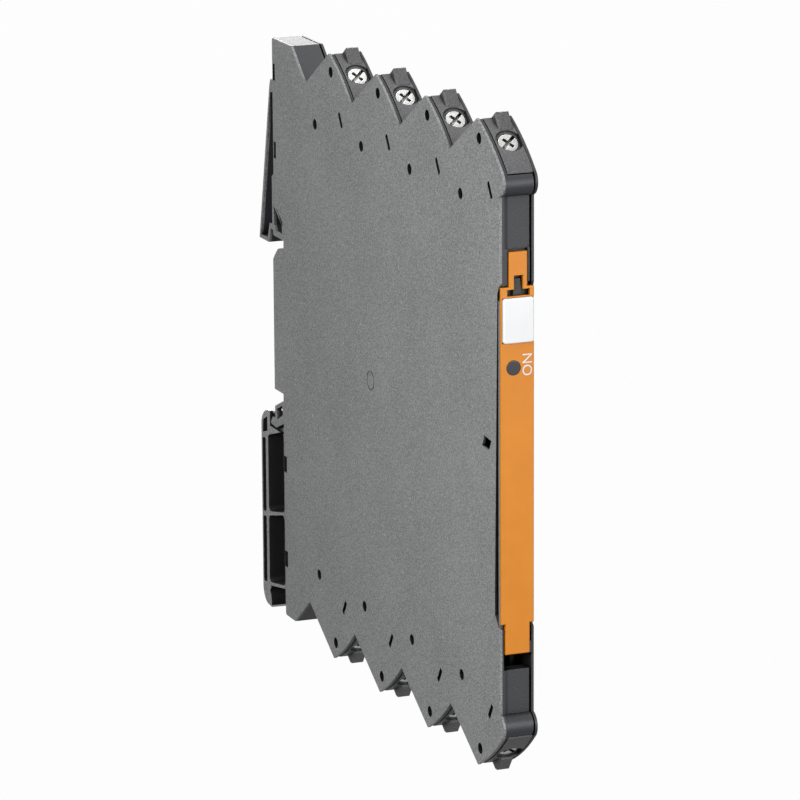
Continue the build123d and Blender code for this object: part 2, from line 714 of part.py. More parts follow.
def foot_pockets():
    """Two long pockets and two grooves between the ribs, one at the top corner and one at the foot's end."""
    top = (LIP_LOW_Z - 2.9, 0.3)
    above = (FOOT_RIB_Z[0] + FOOT_RIB / 2, 0.21)
    below = (FOOT_RIB_Z[0] - FOOT_RIB / 2, 0.25)
    end = (FOOT_RIB_Z[1] + FOOT_RIB / 2, 0.17)
    faces = [
        leaning(FOOT_POCKET_Y, above, top, 0.9),
        leaning(FOOT_POCKET_Y, end, below, 0.9),
        leaning(FOOT_GROOVE_Y, above, (top[0] - 0.3, top[1]), 0.45),
        leaning(FOOT_GROOVE_Y, end, below, 0.45),
        shape((6.4, LIP_LOW_Z - 1.7), (6.6, LIP_LOW_Z - 4.1), (4.2, LIP_LOW_Z - 3.4), (4.2, LIP_LOW_Z - 0.6)),
        shape(
            (FOOT_POCKET_Y[0], FOOT_RIB_Z[1] - FOOT_RIB / 2 + 0.8),
            (FOOT_POCKET_Y[0], FOOT_LOW_Z + FOOT_RIM + FOOT_RISE * (FOOT_TIP_Y - FOOT_POCKET_Y[0])),
            (FOOT_TIP_Y, FOOT_LOW_Z + FOOT_RIM),
            (3.9, FOOT_RIB_Z[1] - 1.8, -0.3),
            (3.2, FOOT_RIB_Z[1] - FOOT_RIB / 2 - 0.5, -0.2),
        ),
    ]
    return group(slab(face, NEAR - 1, FOOT_FAR - FOOT_FLOOR) for face in faces)


def rail_foot():
    foot = slab(foot_outline(), FOOT_NEAR, FOOT_FAR) + foot_skin() - foot_pockets()
    foot -= block(NEAR - 1, FOOT_HOOK_NEAR, 0, CATCH_ROOM_Y, LIP_LOW_Z - 2.1, LIP_LOW_Z + 0.35)
    middle = (FOOT_WEB_Y + BOTTOM_REAR_Y) / 2
    half_y, half_z = GUIDE_HALF
    for z in GUIDE_Z:
        low = z - half_z - 0.2
        high = z + half_z + FOOT_TRAVEL + 0.2
        foot -= block(NEAR, FAR, middle - half_y - 0.1, middle + half_y + 0.1, low, high)
    window_low = SPRING_LOW_Z - SPRING_SEAT - 0.2
    return foot - block(NEAR, FAR, middle - 1.5, middle + 1.5, window_low, SPRING_TOP_Z + 0.05)


def foot_spring():
    """Zigzag strip between the case's seat and the top of the foot's window."""
    strip = 0.3
    folds = 6
    middle = (FOOT_WEB_Y + BOTTOM_REAR_Y) / 2
    half = 1.0
    rise = (SPRING_TOP_Z - SPRING_LOW_Z - 0.1 - strip) / folds
    spring = Part()
    for i in range(folds + 1):
        z = SPRING_LOW_Z + 0.05 + rise * i
        spring += block(-1.4, 1.4, middle - half, middle + half, z, z + strip)
        if i < folds:
            side = middle + (half - strip if i % 2 else -half)
            spring += block(-1.4, 1.4, side, side + strip, z, z + rise + strip)
    return spring


# Front flap, its label carrier and light guide
def front_slab(face, y0, y1):
    """An (X, Z) face thickened along Y from y0 back to y1."""
    plane = Plane(origin=(0, y1, 0), x_dir=(1, 0, 0), z_dir=(0, -1, 0))
    return extrude(plane * face, amount=y1 - y0)


def flat(x0, x1, z0, z1, radius=0.0):
    face = RectangleRounded(x1 - x0, z1 - z0, radius) if radius else Rectangle(x1 - x0, z1 - z0)
    return Pos((x0 + x1) / 2, (z0 + z1) / 2) * face


def front_flap():
    back = FLAP_Y + FLAP_THICK
    tab_back = FLAP_Y + TAB_THICK
    flap = front_slab(flat(-FLAP_HALF, FLAP_HALF, FLAP_LOW_Z, FLAP_TOP_Z), FLAP_Y, back)
    flap += front_slab(flat(-1.46, 1.7, FLAP_TOP_Z - 2, TAB_TOP_Z), FLAP_Y, tab_back)
    flap += front_slab(flat(-2.15, 2.15, HINGE_TAB_Z, FLAP_LOW_Z + 0.5), FLAP_Y, tab_back)
    flap = chamfer(flap.faces().sort_by(Axis.Y)[0].edges(), FLAP_EDGE)
    flap += rod(-2.15, 2.15, HINGE_Y, HINGE_Z, KNUCKLE_R)
    flap += rod(-2.75, 2.75, HINGE_Y, HINGE_Z, HINGE_PIN_R)
    for x in (-1.9, 1.3):
        flap += block(x, x + 0.6, back - 0.1, back + 1.2, *FLAP_RIB_Z)
    flap -= front_slab(flat(-1.85, 2.15, FLAP_TOP_Z - 1.5, FLAP_TOP_Z - 0.4), FLAP_Y - 1, tab_back + 1)
    flap -= front_slab(flat(-0.67, 0.95, FLAP_TOP_Z - 1.5, 30.5), FLAP_Y - 1, tab_back + 1)
    tag_seat = flat(-TAG_HALF - 0.05, FLAP_HALF, TAG_LOW_Z - 0.05, TAG_TOP_Z + 0.05)
    flap -= front_slab(tag_seat, FLAP_Y - 1, FLAP_Y + TAG_SEAT)
    return flap - front_slab(Pos(*GUIDE_LIGHT) * Circle(GUIDE_LIGHT_R + 0.05), FLAP_Y - 1, back + 2)


def marker_tag():
    back = FLAP_Y + TAG_SEAT
    tag = front_slab(flat(-TAG_HALF, TAG_HALF, TAG_LOW_Z, TAG_TOP_Z, 0.5), back - TAG_THICK, back)
    rim = tag.faces().sort_by(Axis.Y)[0].edges()
    return fillet(rim, 0.25)


def light_guide():
    y0 = FLAP_Y - 0.05
    disc = front_slab(Pos(*GUIDE_LIGHT) * Circle(GUIDE_LIGHT_R), y0, y0 + 1.4)
    stem = front_slab(Pos(*GUIDE_LIGHT) * Circle(0.8), y0 + 1.4, y0 + 3.6)
    return disc + stem


# Circuit board and the parts on it
def circuit_board():
    board = block(BOARD_NEAR, BOARD_FAR, BOARD_FRONT_Y, BOARD_REAR_Y, -BOARD_HALF_Z, BOARD_HALF_Z)
    for y in (BOARD_FRONT_Y + 5, (BOARD_FRONT_Y + BOARD_REAR_Y) / 2, BOARD_REAR_Y - 5):
        for z in (-BOARD_HALF_Z + 4.5, BOARD_HALF_Z - 4.5):
            board -= rod(BOARD_NEAR - 1, BOARD_FAR + 1, y, z, 0.65)
    return board


def on_board(height, y, z, length, depth, lift=0.0):
    """A box on the board's near face, or lifted off it."""
    face = Pos(y, z) * Rectangle(length, depth)
    return slab(face, BOARD_NEAR - height, BOARD_NEAR - lift)


def spot(across, up):
    """A place on the board's grid, counted from the transformer."""
    return CORE_Y + across * PLACE_GRID, CORE_Z + up * PLACE_GRID


def chip(place, size, legs):
    """A moulded chip body with a row of bent legs along its upper and lower side."""
    y, z = spot(*place)
    length, depth, height = size
    body = on_board(height, y, z, length, depth, CHIP_LIFT)
    step = length / legs
    for i in range(legs):
        leg_y = y - length / 2 + step * (i + 0.5)
        for side in (-1, 1):
            edge = z + side * depth / 2
            body += on_board(0.2, leg_y, edge + side * LEG_REACH / 2, LEG_WIDTH, LEG_REACH)
            body += on_board(height / 2, leg_y, edge, LEG_WIDTH, LEG_WIDTH, 0.1)
    return body


def core_leg(play):
    """The core's middle leg, grown by play all round."""
    half = CORE_LEG / 2 + play
    low = BOARD_NEAR - CORE_LEG_LIFT - CORE_LEG_HEIGHT - play
    high = BOARD_NEAR - CORE_LEG_LIFT + play
    half_z = CORE_DEPTH / 2 - 0.5
    return block(low, high, CORE_Y - half, CORE_Y + half, CORE_Z - half_z, CORE_Z + half_z)


def transformer_core():
    frame = on_board(CORE_HEIGHT, CORE_Y, CORE_Z, CORE_LENGTH, CORE_DEPTH)
    window = on_board(CORE_HEIGHT + 1, CORE_Y, CORE_Z, CORE_LENGTH - 2 * CORE_LEG, CORE_DEPTH - 2 * CORE_LEG)
    return frame - window + core_leg(0)


def transformer_winding():
    play = 0.2
    length = CORE_LENGTH - 2 * CORE_LEG - 2 * play
    depth = CORE_DEPTH - 2 * CORE_LEG - 2 * play
    return on_board(CORE_HEIGHT + 0.2, CORE_Y, CORE_Z, length, depth) - core_leg(play)


def group(solids):
    parts = Part()
    for solid in solids:
        parts += solid
    return parts


def analog_chips():
    return group(chip(place, ANALOG_CHIP, 4) for place in ((11, 10), (11, -8), (-11, 12)))


def isolator_chips():
    return group(chip(place, ISOLATOR_CHIP, 8) for place in ((0, 12), (0, -11)))


def capacitors():
    length, depth, height = CAPACITOR
    places = ((-15, 16), (-15, -14), (14, 16), (14, -14), (7, 1), (-7, 1), (-7, -7), (-7, 7))
    return group(on_board(height, *spot(*place), length, depth) for place in places)


def status_led():
    return on_board(2.6, BOARD_FRONT_Y + 0.9, GUIDE_LIGHT[1], 1.6, 2.0)


def config_socket():
    high = SOCKET_LOW_Z + SOCKET_CELLS * SOCKET_STEP + 0.4
    body = block(SOCKET_NEAR, BOARD_NEAR, BOARD_FRONT_Y - 1.2, BOARD_FRONT_Y + 6.0, SOCKET_LOW_Z, high)
    for i in range(SOCKET_CELLS):
        z = SOCKET_LOW_Z + 1.0 + SOCKET_STEP * i
        body -= block(
            SOCKET_NEAR + 0.7, SOCKET_NEAR + 1.6, BOARD_FRONT_Y - 2, BOARD_FRONT_Y + 3.0, z - 0.4, z + 0.4
        )
    return body


def save(name, solid):
    solid.label = name
    export_step(solid, f"parts/{name}.step")


def save_rows(name, solid):
    """Eight copies: 1 to 4 along the top row from the rail, 5 to 8 along the bottom row."""
    for i in range(TERMINALS):
        placed = Pos(0, peak_y(i), PEAK_Z) * solid
        save(f"{name}_{i + 1}", placed)
        save(f"{name}_{i + 1 + TERMINALS}", mirror(placed, Plane.XY))


os.makedirs("parts", exist_ok=True)
save("housing_shell", housing_shell())
save("side_cover", side_cover())
save("rail_foot", rail_foot())
save("foot_spring", foot_spring())
save("front_flap", front_flap())
save("marker_tag", marker_tag())
save("light_guide", light_guide())
save("circuit_board", circuit_board())
save("transformer_core", transformer_core())
save("transformer_winding", transformer_winding())
save("processor_chip", chip((-11, -1), PROCESSOR_CHIP, 8))
save("analog_chips", analog_chips())
save("isolator_chips", isolator_chips())
save("capacitors", capacitors())
save("status_led", status_led())
save("config_socket", config_socket())
save_rows("terminal_block", terminal_block())
save_rows("clamp_screw", clamp_screw())
save_rows("clamp_yoke", clamp_yoke())
save_rows("contact_bar", contact_bar())
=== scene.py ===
import json
import math

import bpy
from mathutils import Matrix, Vector


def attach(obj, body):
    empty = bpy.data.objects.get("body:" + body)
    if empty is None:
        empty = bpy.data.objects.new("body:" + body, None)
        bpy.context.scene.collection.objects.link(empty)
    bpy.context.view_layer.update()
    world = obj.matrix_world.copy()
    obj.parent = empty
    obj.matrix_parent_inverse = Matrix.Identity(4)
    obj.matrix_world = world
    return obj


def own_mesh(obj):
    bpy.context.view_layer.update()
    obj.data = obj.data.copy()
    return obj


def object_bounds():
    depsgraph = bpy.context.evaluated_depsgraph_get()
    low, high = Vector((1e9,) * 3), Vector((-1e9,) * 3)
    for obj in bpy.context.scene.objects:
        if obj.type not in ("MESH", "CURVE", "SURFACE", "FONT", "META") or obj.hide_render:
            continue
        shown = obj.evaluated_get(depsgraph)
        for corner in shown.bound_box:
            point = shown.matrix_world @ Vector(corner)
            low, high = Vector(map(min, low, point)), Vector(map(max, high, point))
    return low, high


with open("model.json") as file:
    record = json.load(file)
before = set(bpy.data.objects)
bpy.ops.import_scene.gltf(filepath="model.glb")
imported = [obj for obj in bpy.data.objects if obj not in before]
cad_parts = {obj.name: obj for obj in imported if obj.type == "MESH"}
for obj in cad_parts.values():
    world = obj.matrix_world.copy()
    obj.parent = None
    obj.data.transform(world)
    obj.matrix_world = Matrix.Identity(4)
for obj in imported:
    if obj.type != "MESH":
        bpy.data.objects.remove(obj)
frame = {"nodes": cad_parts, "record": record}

MM = 0.001
nodes = frame["nodes"]
cad_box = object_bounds()


# Shader nodes and colours; a Mix node's colours go in at these two sockets and come out at the third
MIX_FIRST = 6
MIX_SECOND = 7
MIX_RESULT = 2
# The colour of the painted shade in slots, pockets and gaps
PAINTED_SHADE_TONE = "#050505"
EDGE_SAMPLES = 6
RECESS_SAMPLES = 8
SOFT_DETAIL = 2.0
FINE_DETAIL = 3.0


def linear(hex_colour):
    """An sRGB hex value as the linear colour that the shader wants."""
    channels = [int(hex_colour[i:i + 2], 16) / 255 for i in (1, 3, 5)]
    straight = [c / 12.92 if c <= 0.04045 else ((c + 0.055) / 1.055) ** 2.4 for c in channels]
    return (*straight, 1.0)


def per_mm(size_mm):
    """Noise scale that gives features of this size in millimetres on Object coordinates in metres."""
    return 1.0 / (size_mm * MM)


def add(owner, kind, settings=None, links=None):
    """Adds a shader node: settings set its properties or sockets, and links join its sockets.

    A socket is given by its name or its number.
    """
    node = owner.node_tree.nodes.new(kind)
    for key, value in (settings or {}).items():
        if isinstance(key, int) or key in node.inputs:
            node.inputs[key].default_value = value
        else:
            setattr(node, key, value)
    for key, source in (links or {}).items():
        owner.node_tree.links.new(source, node.inputs[key])
    return node


def new_material(name, settings):
    """A material with these values on its shader's own sockets."""
    material = bpy.data.materials.new(name)
    material.use_nodes = True
    shader = material.node_tree.nodes["Principled BSDF"]
    for key, value in settings.items():
        shader.inputs[key].default_value = value
    return material, shader


def drifting_tone(material, value, value_range, dark, light):
    """The colour drifts from the dark tone to the light one as the value goes through its range."""
    low, high = value_range
    share = add(material, "ShaderNodeMapRange", {"From Min": low, "From Max": high}, {"Value": value})
    tone = add(
        material, "ShaderNodeMix", {"data_type": "RGBA", MIX_FIRST: linear(dark), MIX_SECOND: linear(light)},
        {0: share.outputs["Result"]},
    )
    return tone.outputs[MIX_RESULT]


def paint_recess_shade(material, colour, dark, reach_mm, darkest, closed=0.15, open_at=0.75):
    """Painted shade: slots, pockets and gaps darken towards the dark colour where the part closes in within
    this reach.

    The colour keeps its darkest share where a point is open by closed or less, and is whole from open_at on.
    """
    near = add(
        material, "ShaderNodeAmbientOcclusion", {"samples": RECESS_SAMPLES, "Distance": reach_mm * MM}
    )
    kept_share = add(
        material, "ShaderNodeMapRange", {"From Min": closed, "From Max": open_at, "To Min": darkest},
        {"Value": near.outputs["AO"]},
    )
    darkened = add(
        material, "ShaderNodeMix", {"data_type": "RGBA", MIX_FIRST: linear(dark)},
        {0: kept_share.outputs["Result"], MIX_SECOND: colour},
    )
    return darkened.outputs[MIX_RESULT]


def finish_surface(material, shader, colour, grain, depth_mm, edge_mm):
    """Joins the colour to the shader, with the grain as relief of this depth.

    Moulded and plated corners are never sharp, so at an edge the normal turns over this radius.
    """
    edges = add(material, "ShaderNodeBevel", {"samples": EDGE_SAMPLES, "Radius": edge_mm * MM})
    relief = add(
        material, "ShaderNodeBump", {"Strength": 1.0, "Distance": depth_mm * MM},
        {"Height": grain, "Normal": edges.outputs["Normal"]},
    )
    material.node_tree.links.new(relief.outputs["Normal"], shader.inputs["Normal"])
    material.node_tree.links.new(colour, shader.inputs["Base Color"])
    return material


# Spark-eroded polyamide; the real grain is finer and shallower, and is drawn so coarse that it shows
POLYAMIDE_IOR = 1.53
GRAIN_MM = 0.26
GRAIN_DEPTH_MM = 0.035
GRAIN_RANGE = (0.39, 0.73)
CLOUD_MM = 16.0
CLOUD_SHARE = 0.12
CORE_CLOUD_RANGE = (0.35, 0.65)
CORE_RAMP_MM = 0.05
FLECK_SPACING_MM = 1.2
FLECK_RADIUS_SHARE = 0.22
FLECK_STRENGTH = 0.6
FLECK_PALE = "#C4C4C4"
ERODED_EDGE_MM = 0.1


def add_flecks(material, place, colour, share):
    """Ends of glass fibres are small pale flecks, in this share of the cells of an even scatter."""
    cells = add(material, "ShaderNodeTexVoronoi", {"Scale": per_mm(FLECK_SPACING_MM)}, {"Vector": place})
    dots = add(
        material, "ShaderNodeMapRange",
        {"From Min": FLECK_RADIUS_SHARE, "From Max": FLECK_RADIUS_SHARE / 2},
        {"Value": cells.outputs["Distance"]},
    )
    chosen = add(
        material, "ShaderNodeMath", {"operation": "GREATER_THAN", 1: 1.0 - share},
        {0: cells.outputs["Color"]},
    )
    fibres = add(
        material, "ShaderNodeMath", {"operation": "MULTIPLY"},
        {0: dots.outputs["Result"], 1: chosen.outputs[0]},
    )
    faint = add(
        material, "ShaderNodeMath", {"operation": "MULTIPLY", 1: FLECK_STRENGTH}, {0: fibres.outputs[0]}
    )
    flecked = add(
        material, "ShaderNodeMix", {"data_type": "RGBA", MIX_SECOND: linear(FLECK_PALE)},
        {0: faint.outputs[0], MIX_FIRST: colour},
    )
    return flecked.outputs[MIX_RESULT]


def polish_and_shade_core(material, place, cloud, colour, low_mm, high_mm, dark, light):
    """Faces that the mould's polished core makes lie between two places across the case; they are smooth, and
    painted darker as shade.
    """
    across = add(material, "ShaderNodeSeparateXYZ", {}, {0: place}).outputs["X"]
    past_low = add(
        material, "ShaderNodeMapRange", {"From Min": (low_mm - CORE_RAMP_MM) * MM, "From Max": low_mm * MM},
        {"Value": across},
    )
    before_high = add(
        material, "ShaderNodeMapRange",
        {"From Min": high_mm * MM, "From Max": (high_mm + CORE_RAMP_MM) * MM, "To Min": 1.0, "To Max": 0.0},
        {"Value": across},
    )
    core = add(
        material, "ShaderNodeMath", {"operation": "MULTIPLY"},
        {0: past_low.outputs["Result"], 1: before_high.outputs["Result"]},
    )
    tone = drifting_tone(material, cloud, CORE_CLOUD_RANGE, dark, light)
    polished = add(
        material, "ShaderNodeMix", {"data_type": "RGBA"},
        {0: core.outputs[0], MIX_FIRST: colour, MIX_SECOND: tone},
    )
    return polished.outputs[MIX_RESULT]


def spark_eroded(name, dark, light, roughness, shade, flecks=0.2, core=None):
    """Glass-filled polyamide from a spark-eroded mould: mottled fine grain and a few pale flecks.

    A shade is the reach in millimetres, the darkest share, and the closed and open values of the painted
    shade in a recess.
    A core is the two places in millimetres that its faces lie between, and their dark and light tone, which
    is painted shade.
    """
    material, shader = new_material(name, {"Roughness": roughness, "IOR": POLYAMIDE_IOR})
    place = add(material, "ShaderNodeTexCoord").outputs["Object"]
    grain = add(
        material, "ShaderNodeTexNoise", {"Scale": per_mm(GRAIN_MM), "Detail": SOFT_DETAIL}, {"Vector": place}
    ).outputs["Fac"]
    cloud = add(
        material, "ShaderNodeTexNoise", {"Scale": per_mm(CLOUD_MM), "Detail": SOFT_DETAIL}, {"Vector": place}
    ).outputs["Fac"]
    drift = add(material, "ShaderNodeMath", {"operation": "MULTIPLY", 1: CLOUD_SHARE}, {0: cloud})
    mottle = add(material, "ShaderNodeMath", {"operation": "ADD"}, {0: grain, 1: drift.outputs[0]})
    tone = drifting_tone(material, mottle.outputs[0], GRAIN_RANGE, dark, light)
    colour = add_flecks(material, place, tone, flecks)
    if core:
        colour = polish_and_shade_core(material, place, cloud, colour, *core)
    colour = paint_recess_shade(material, colour, PAINTED_SHADE_TONE, *shade)
    return finish_surface(material, shader, colour, grain, GRAIN_DEPTH_MM, ERODED_EDGE_MM)


# Polished plastic; its skin is nearly flat
FLOW_CLOUD_MM = 6.0
FLOW_RANGE = (0.3, 0.7)
SKIN_MM = 0.3
SKIN_DEPTH_MM = 0.002
POLISHED_EDGE_MM = 0.15


def polished_plastic(name, dark, light, roughness, darkest=0.5, ior=1.5, reach_mm=2.0):
    """Smooth moulded plastic: an even tone with the faint cloud of flow in the mould, and painted shade in
    its recesses.
    """
    material, shader = new_material(name, {"Roughness": roughness, "IOR": ior})
    place = add(material, "ShaderNodeTexCoord").outputs["Object"]
    cloud = add(
        material, "ShaderNodeTexNoise", {"Scale": per_mm(FLOW_CLOUD_MM), "Detail": SOFT_DETAIL},
        {"Vector": place},
    )
    tone = drifting_tone(material, cloud.outputs["Fac"], FLOW_RANGE, dark, light)
    colour = paint_recess_shade(material, tone, PAINTED_SHADE_TONE, reach_mm, darkest)
    skin = add(
        material, "ShaderNodeTexNoise", {"Scale": per_mm(SKIN_MM), "Detail": FINE_DETAIL}, {"Vector": place}
    )
    return finish_surface(material, shader, colour, skin.outputs["Fac"], SKIN_DEPTH_MM, POLISHED_EDGE_MM)


# Plated metal; its marks are finer on the real one, and are drawn so coarse that they show
TUMBLE_MARK_MM = 0.15
TUMBLE_DEPTH_MM = 0.003
GLOSS_SPREAD = 0.08
# Painted shade in the metal's recesses, such as the screws' drive slots: its colour, then its reach, darkest
# share, closed and open values
PAINTED_SHADE_ON_METAL = "#0A0A0A"
METAL_SHADE = (2.0, 0.3, 0.3, 0.88)
PLATED_EDGE_MM = 0.08


def plated_metal(name, dark, light, roughness):
    """Bright metal under a thin coat, with fine tumbling marks, a slightly milky tone and painted shade in
    its recesses.
    """
    material, shader = new_material(name, {"Metallic": 1.0})
    place = add(material, "ShaderNodeTexCoord").outputs["Object"]
    marks = add(
        material, "ShaderNodeTexNoise", {"Scale": per_mm(TUMBLE_MARK_MM), "Detail": FINE_DETAIL},
        {"Vector": place},
    ).outputs["Fac"]
    gloss = add(
        material, "ShaderNodeMapRange",
        {"To Min": roughness - GLOSS_SPREAD, "To Max": roughness + GLOSS_SPREAD}, {"Value": marks},
    )
    material.node_tree.links.new(gloss.outputs["Result"], shader.inputs["Roughness"])
    tone = add(
        material, "ShaderNodeMix", {"data_type": "RGBA", MIX_FIRST: linear(dark), MIX_SECOND: linear(light)},
        {0: marks},
    )
    colour = paint_recess_shade(material, tone.outputs[MIX_RESULT], PAINTED_SHADE_ON_METAL, *METAL_SHADE)
    return finish_surface(material, shader, colour, marks, TUMBLE_DEPTH_MM, PLATED_EDGE_MM)


# The near plate of the case is a matt mottled grey; the walls behind it are smooth, with painted shade making
# them near black, and painted shade blackens its gaps
housing_polyamide = spark_eroded(
    "housing_polyamide", "#686969", "#A2A3A3", 0.5, (3.0, 0.0, 0.55, 0.97),
    core=(-2.55, 3.0, "#2F3034", "#35363A"),
)

# The foot is the plate's grey, and painted shade turns it dark deep in its open pockets
foot_polyamide = spark_eroded("foot_polyamide", "#6A6B6B", "#AEAFAF", 0.5, (12.0, 0.02, 0.6, 0.95))

# The terminals are a darker and more even grey with fewer flecks, with painted shade in their gaps and holes
terminal_polyamide = spark_eroded(
    "terminal_polyamide", "#484849", "#626264", 0.42, (3.0, 0.02, 0.4, 0.9), flecks=0.1
)

# The flap is an even warm orange with a soft sheen, and its tag a clean white
flap_abs = polished_plastic("flap_abs", "#DC8616", "#E38D1C", 0.42, darkest=0.35)
tag_polycarbonate = polished_plastic("tag_polycarbonate", "#F2F3F4", "#F8F9FA", 0.4)

# The end of the light guide is a dark disc with a sharp gloss
light_guide_acrylic = polished_plastic("light_guide_acrylic", "#47474B", "#505055", 0.15, ior=1.49)

# The clamps' zinc is the brightest metal, the spring's strip is duller, and the tin on the bars is warmer
zinc_steel = plated_metal("zinc_steel", "#D2D2D0", "#F4F4F2", 0.3)
spring_strip = plated_metal("spring_strip", "#9C9C9C", "#C4C4C4", 0.3)
tinned_copper = plated_metal("tinned_copper", "#B9B6AE", "#DAD7CF", 0.32)

# Clear enamel leaves the winding's wire a shiny red brown
winding_enamel = plated_metal("winding_enamel", "#8A431F", "#B8642E", 0.35)

# The solder mask is a glossy dark green, with painted shade that makes it near black deep in the case
board_mask = polished_plastic("board_mask", "#0F4423", "#14552C", 0.3, darkest=0.05, reach_mm=9.0)

# The components are plain: a dull grey core, black packages, tan ceramic and a milky lamp
ferrite = polished_plastic("ferrite", "#3A3A3C", "#464648", 0.6)
chip_epoxy = polished_plastic("chip_epoxy", "#1F1F20", "#2A2A2B", 0.5)
capacitor_ceramic = polished_plastic("capacitor_ceramic", "#A98D63", "#BFA277", 0.45)
lamp_epoxy = polished_plastic("lamp_epoxy", "#C8D4BE", "#D9E2D0", 0.2)

FINISH = {
    "housing_grey": housing_polyamide,
    "foot_grey": foot_polyamide,
    "terminal_grey": terminal_polyamide,
    "flap_orange": flap_abs,
    "marker_white": tag_polycarbonate,
    "guide_smoke": light_guide_acrylic,
    "zinc_steel": zinc_steel,
    "spring_steel": spring_strip,
    "tin_copper": tinned_copper,
    "board_green": board_mask,
    "ferrite_black": ferrite,
    "winding_copper": winding_enamel,
    "chip_black": chip_epoxy,
    "capacitor_tan": capacitor_ceramic,
    "led_lens": lamp_epoxy,
    "socket_black": chip_epoxy,
}


def dress_frame():
    """Each solid gets the finish of its material slot."""
    for part in frame["record"]["subparts"]:
        mesh = nodes[part["node"]].data
        mesh.materials.clear()
        mesh.materials.append(FINISH[part["material_slot"]])


dress_frame()


def low_side(node, axis):
    """Where a CAD node begins along an axis, in millimetres."""
    return min(vertex.co[axis] for vertex in nodes[node].data.vertices) / MM


# Forms too small for the solids, in millimetres
NEAR_X = low_side("housing_shell", 0)
PLATE_WALL = 0.45
REAR_Y = -0.65
SLOT_RIM = 0.2
RIM_ROUND = 0.04
RIM_SEGMENTS = 2
SLOT_HALF = 1.5
REAR_SLOT_Z = (47.1, 32.9)
FLAP_FRONT_Y = low_side("front_flap", 1)
WORD_PLACE = (1.78, 15.6)
WORD_SIZE = 2.45
LETTER_STEPS = 4
PRINT_PROUD = 0.02
MERGE_REACH = 0.001


def add_slot_rims():
    """The thin rims that close the two slots at the rear edge of the near plate."""
    upper_z, lower_z = REAR_SLOT_Z
    middle = (NEAR_X + PLATE_WALL / 2, REAR_Y - SLOT_RIM / 2, upper_z)
    bpy.ops.object.select_all(action="DESELECT")
    bpy.ops.mesh.primitive_cube_add(size=1.0, location=[MM * value for value in middle])
    upper = bpy.context.object
    upper.name = "slot_rim_upper"
    upper.scale = [MM * PLATE_WALL, MM * SLOT_RIM, MM * 2 * SLOT_HALF]
    bpy.ops.object.transform_apply(location=True, rotation=True, scale=True)
    bpy.ops.object.mode_set(mode="EDIT")
    bpy.ops.mesh.select_all(action="SELECT")
    bpy.ops.mesh.bevel(offset=RIM_ROUND * MM, segments=RIM_SEGMENTS, affect="EDGES")
    bpy.ops.object.mode_set(mode="OBJECT")
    upper.data.materials.append(housing_polyamide)
    bpy.ops.object.duplicate(linked=False)
    lower = bpy.context.object
    lower.name = "slot_rim_lower"
    bpy.ops.transform.translate(value=(0, 0, (lower_z - upper_z) * MM))
    bpy.ops.object.transform_apply(location=True, rotation=True, scale=True)
    for rim in (upper, lower):
        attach(rim, "housing")


def add_word():
    """The generic white word beside the light guide reads upward."""
    bpy.ops.object.select_all(action="DESELECT")
    bpy.ops.object.text_add(location=(0, 0, 0))
    word = bpy.context.object
    word.name = "flap_word"
    word.data.body = "ON"
    word.data.size = WORD_SIZE * MM
    word.data.align_x = "CENTER"
    word.data.align_y = "CENTER"
    word.data.extrude = PRINT_PROUD * MM
    word.data.resolution_u = LETTER_STEPS
    bpy.ops.object.convert(target="MESH")
    bpy.ops.object.mode_set(mode="EDIT")
    bpy.ops.mesh.select_all(action="SELECT")
    bpy.ops.mesh.remove_doubles(threshold=MERGE_REACH * MM)
    bpy.ops.mesh.normals_make_consistent(inside=False)
    bpy.ops.object.mode_set(mode="OBJECT")
    word = bpy.context.object
    across, up = WORD_PLACE
    word.location = (across * MM, FLAP_FRONT_Y * MM, up * MM)
    word.rotation_euler = (math.radians(90), math.radians(-90), 0)
    bpy.ops.object.transform_apply(location=True, rotation=True, scale=True)
    word.data.materials.clear()
    word.data.materials.append(tag_polycarbonate)
    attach(word, "flap")


def press_spring():
    """The foot's spring gets a mesh of its own."""
    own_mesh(nodes["foot_spring"])


add_slot_rims()
add_word()
press_spring()


# Camera where the photograph was taken from, with its distances in metres
AZIMUTH = math.radians(-21.757)
ELEVATION = math.radians(13.801)
ROLL = math.radians(-0.346)
DISTANCE = 0.856261
AIM = Vector((0.0, -0.0539, -0.001861))
NEAR_CLIP = 0.01
SENSOR_MM = 36.0
FOCAL_PX = 4970.656
FRAME_PX = 800


def add_camera():
    """The pinhole camera that was fitted to the outline and the holes in the photograph."""
    back = Vector((
        math.sin(AZIMUTH) * math.cos(ELEVATION),
        -math.cos(AZIMUTH) * math.cos(ELEVATION),
        math.sin(ELEVATION),
    ))
    right = Vector((0, 0, 1)).cross(back).normalized()
    up = back.cross(right)
    turned_right = right * math.cos(ROLL) + up * math.sin(ROLL)
    turned_up = up * math.cos(ROLL) - right * math.sin(ROLL)
    data = bpy.data.cameras.new("photo_camera")
    data.sensor_width = SENSOR_MM
    data.lens = FOCAL_PX * SENSOR_MM / FRAME_PX
    data.clip_start = NEAR_CLIP
    camera = bpy.data.objects.new("photo_camera", data)
    bpy.context.scene.collection.objects.link(camera)
    turn = Matrix((turned_right, turned_up, back)).transposed().to_4x4()
    camera.matrix_world = Matrix.Translation(AIM + back * DISTANCE) @ turn
    bpy.context.scene.camera = camera


# Floor, world and lamps: places and sizes in metres, and each lamp's power in watts
WHITE = (1, 1, 1, 1)
FLOOR_SIZE = 12.0
FLOOR_DROP = 0.09
FLOOR_PAINT = "#4C4C4C"
FLOOR_GLOW_SHARE = 0.98
AMBIENT = 0.12
GLOSS_SHARE = 0.35
LAMP_AIM = (0.0, -0.05, 0.0)
LAMPS = {
    "side_softbox": ((-0.28, -0.22, 0.10), 0.2, 0.95),
    "top_softbox": ((0.0, 0.0, 1.3), 0.8, 9.0),
    "front_softbox": ((0.50, -1.28, 0.25), 0.7, 11.0),
    "rear_softbox": ((0.47, 1.17, 0.33), 0.7, 10.5),
}


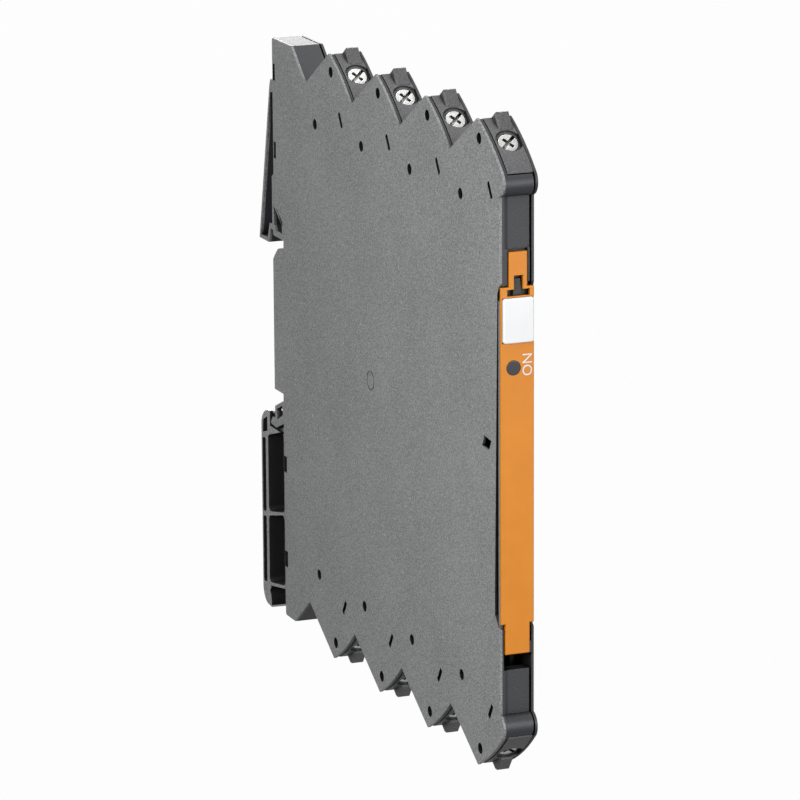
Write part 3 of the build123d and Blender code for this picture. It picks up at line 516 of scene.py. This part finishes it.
def seen_directly(owner):
    """1 where the camera sees this, also through glass, a share of it in gloss, and 0 for all other light."""
    ray = add(owner, "ShaderNodeLightPath").outputs
    gloss = add(
        owner, "ShaderNodeMath", {"operation": "MULTIPLY", 1: GLOSS_SHARE}, {0: ray["Is Glossy Ray"]}
    )
    direct = add(
        owner, "ShaderNodeMath", {"operation": "MAXIMUM"}, {0: ray["Is Camera Ray"], 1: gloss.outputs[0]}
    )
    seen = add(
        owner, "ShaderNodeMath", {"operation": "MAXIMUM"},
        {0: direct.outputs[0], 1: ray["Is Transmission Ray"]},
    )
    return seen.outputs[0]


def add_floor():
    """A floor below the part that the camera sees nearly white, while its soft light is a grey paint's."""
    low = cad_box[0][2] - FLOOR_DROP
    bpy.ops.object.select_all(action="DESELECT")
    bpy.ops.mesh.primitive_plane_add(size=FLOOR_SIZE, location=(0, 0, low))
    floor = bpy.context.object
    floor.name = "studio_floor"
    bpy.ops.object.transform_apply(location=True, rotation=True, scale=True)
    material = bpy.data.materials.new("studio_floor")
    material.use_nodes = True
    tree = material.node_tree
    tree.nodes.remove(tree.nodes["Principled BSDF"])
    paint = add(material, "ShaderNodeBsdfDiffuse", {"Color": linear(FLOOR_PAINT)}).outputs[0]
    glow = add(material, "ShaderNodeEmission", {"Color": WHITE, "Strength": 1.0}).outputs[0]
    pale = add(material, "ShaderNodeMixShader", {0: FLOOR_GLOW_SHARE}, {1: paint, 2: glow})
    mixed = add(
        material, "ShaderNodeMixShader", {}, {0: seen_directly(material), 1: paint, 2: pale.outputs[0]}
    )
    tree.links.new(mixed.outputs[0], tree.nodes["Material Output"].inputs["Surface"])
    floor.data.materials.append(material)


def add_world():
    """Faint even light from all round, and plain white where the camera looks past the floor."""
    world = bpy.data.worlds.new("studio_world")
    world.use_nodes = True
    bpy.context.scene.world = world
    tree = world.node_tree
    light = tree.nodes["Background"]
    light.inputs["Color"].default_value = WHITE
    light.inputs["Strength"].default_value = AMBIENT
    shown = add(world, "ShaderNodeBackground", {"Color": WHITE, "Strength": 1.0})
    mixed = add(
        world, "ShaderNodeMixShader", {},
        {0: seen_directly(world), 1: light.outputs[0], 2: shown.outputs[0]},
    )
    tree.links.new(mixed.outputs[0], tree.nodes["World Output"].inputs["Surface"])


def add_lamp(name, place, size, watts):
    """A square soft light that points at the middle of the part."""
    data = bpy.data.lights.new(name, "AREA")
    data.shape = "SQUARE"
    data.size = size
    data.energy = watts
    lamp = bpy.data.objects.new(name, data)
    lamp.visible_camera = False
    bpy.context.scene.collection.objects.link(lamp)
    lamp.location = place
    way = Vector(LAMP_AIM) - Vector(place)
    lamp.rotation_euler = way.to_track_quat("-Z", "Y").to_euler()


def add_lamps():
    """A near side light that falls off to the rear, and far lights from above, the front and behind."""
    for name, (place, size, watts) in LAMPS.items():
        add_lamp(name, place, size, watts)


add_camera()
add_floor()
add_world()
add_lamps()
bpy.context.scene.view_settings.view_transform = "Standard"
